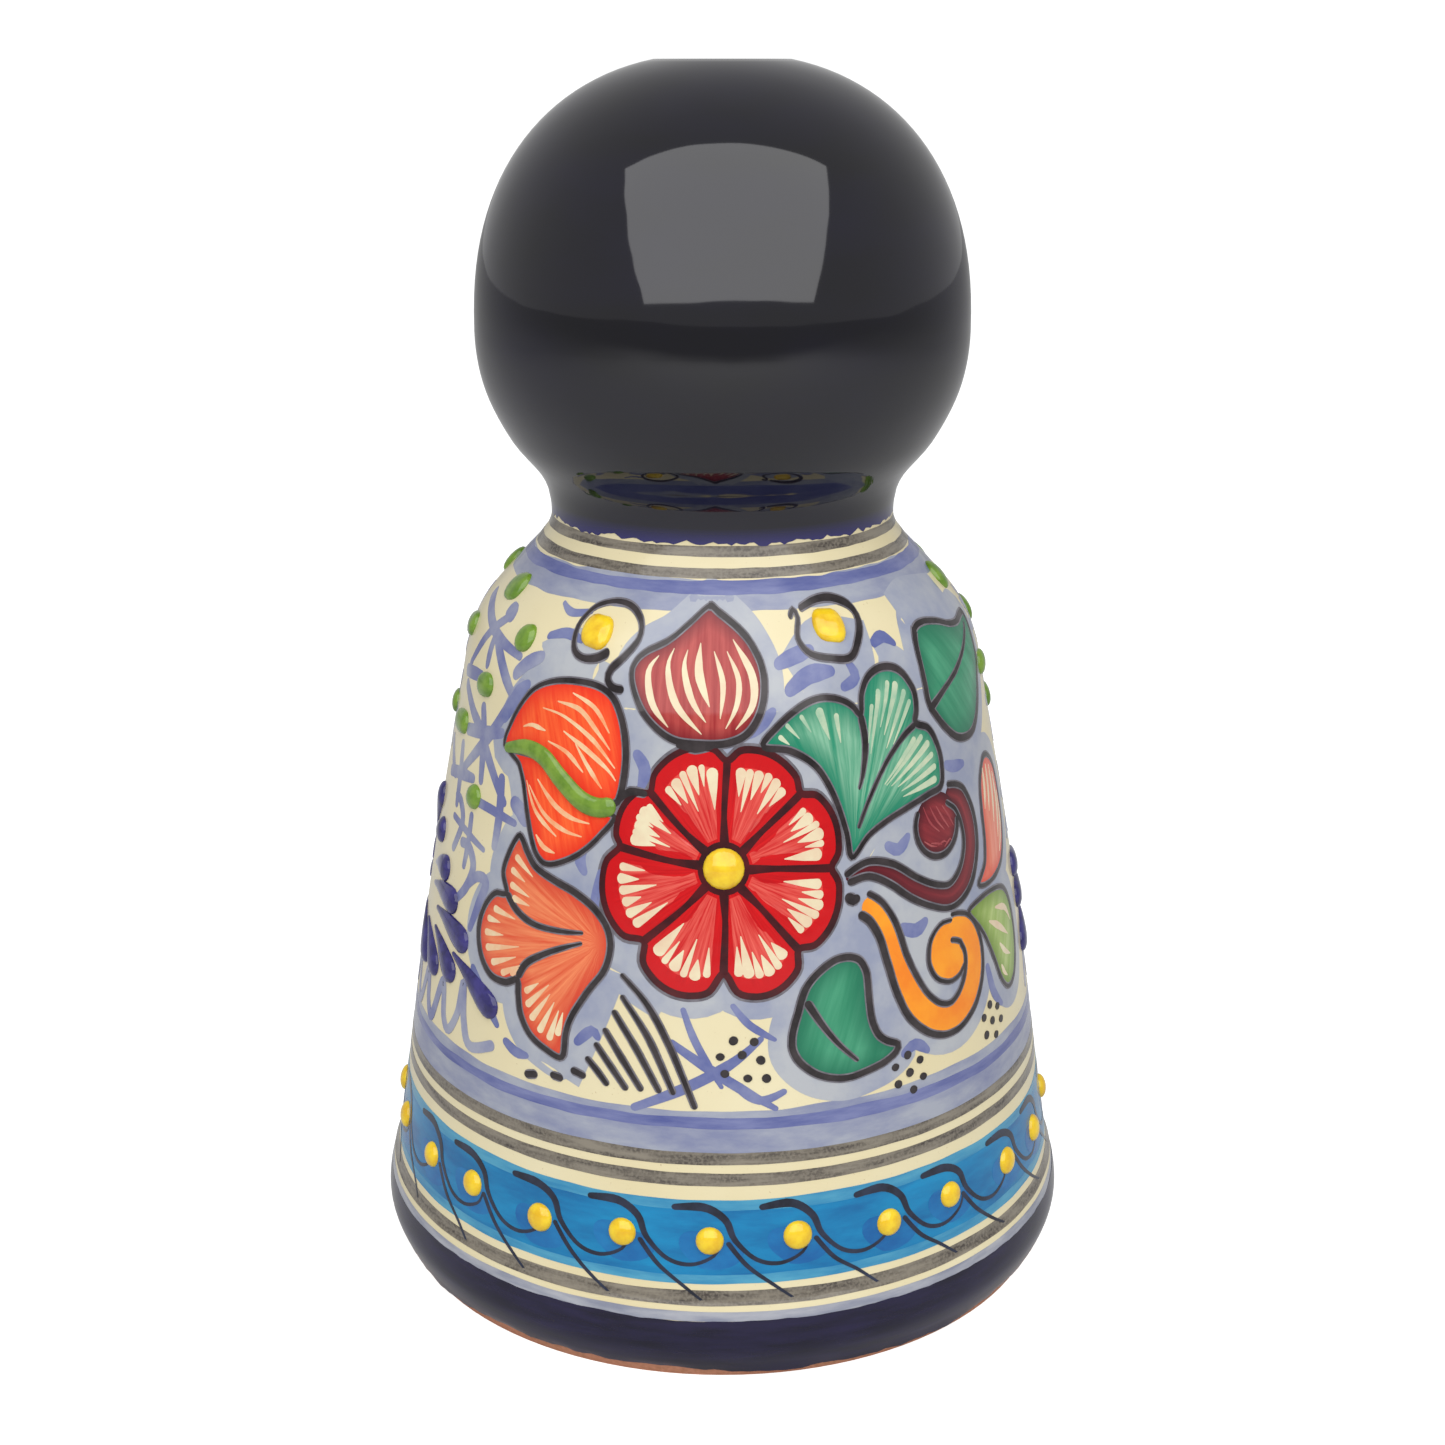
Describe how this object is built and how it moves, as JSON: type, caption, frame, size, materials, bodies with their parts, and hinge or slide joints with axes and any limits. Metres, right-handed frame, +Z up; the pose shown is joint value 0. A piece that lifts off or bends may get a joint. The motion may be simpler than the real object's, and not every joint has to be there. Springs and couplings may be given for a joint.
{
  "type": "talavera vase",
  "caption": "Tin-glazed earthenware vase: flowered conical body on a cobalt foot, with a round cobalt bulb and narrow mouth on top and drops of raised enamel.",
  "frame": {"origin": "centre of the foot ring, on the table", "axes": "+Z up the vase's axis to the mouth; -Y is the painted face, with its twin on +Y; the side panels are turned 14 degrees from -X and +X"},
  "size_m": [0.1812, 0.1812, 0.3005],
  "materials": {
    "terracotta": "bare fired earthenware, matt, fine sandy tooth",
    "liner_glaze": "clear honey liner glaze, glossy",
    "cream_glaze": "opaque cream tin glaze, glossy, lightly crazed",
    "cobalt_glaze": "near-black cobalt glaze, very glossy, faint pooling",
    "yellow_enamel": "raised yellow enamel, glossy",
    "green_enamel": "raised leaf-green enamel, glossy",
    "cobalt_enamel": "raised cobalt-blue enamel, glossy"
  },
  "bodies": {
    "root": {"clay_body": "terracotta", "clay_bulb": "terracotta", "inner_glaze": "liner_glaze", "cream_glaze": "cream_glaze", "cobalt_foot_glaze": "cobalt_glaze", "cobalt_bulb_glaze": "cobalt_glaze", "band_beads": "yellow_enamel", "loop_beads": "yellow_enamel", "flower_hearts": "yellow_enamel", "bud_stems": "green_enamel", "cobalt_drops": "cobalt_enamel", "vine_dots": "green_enamel"}
  },
  "joints": []
}
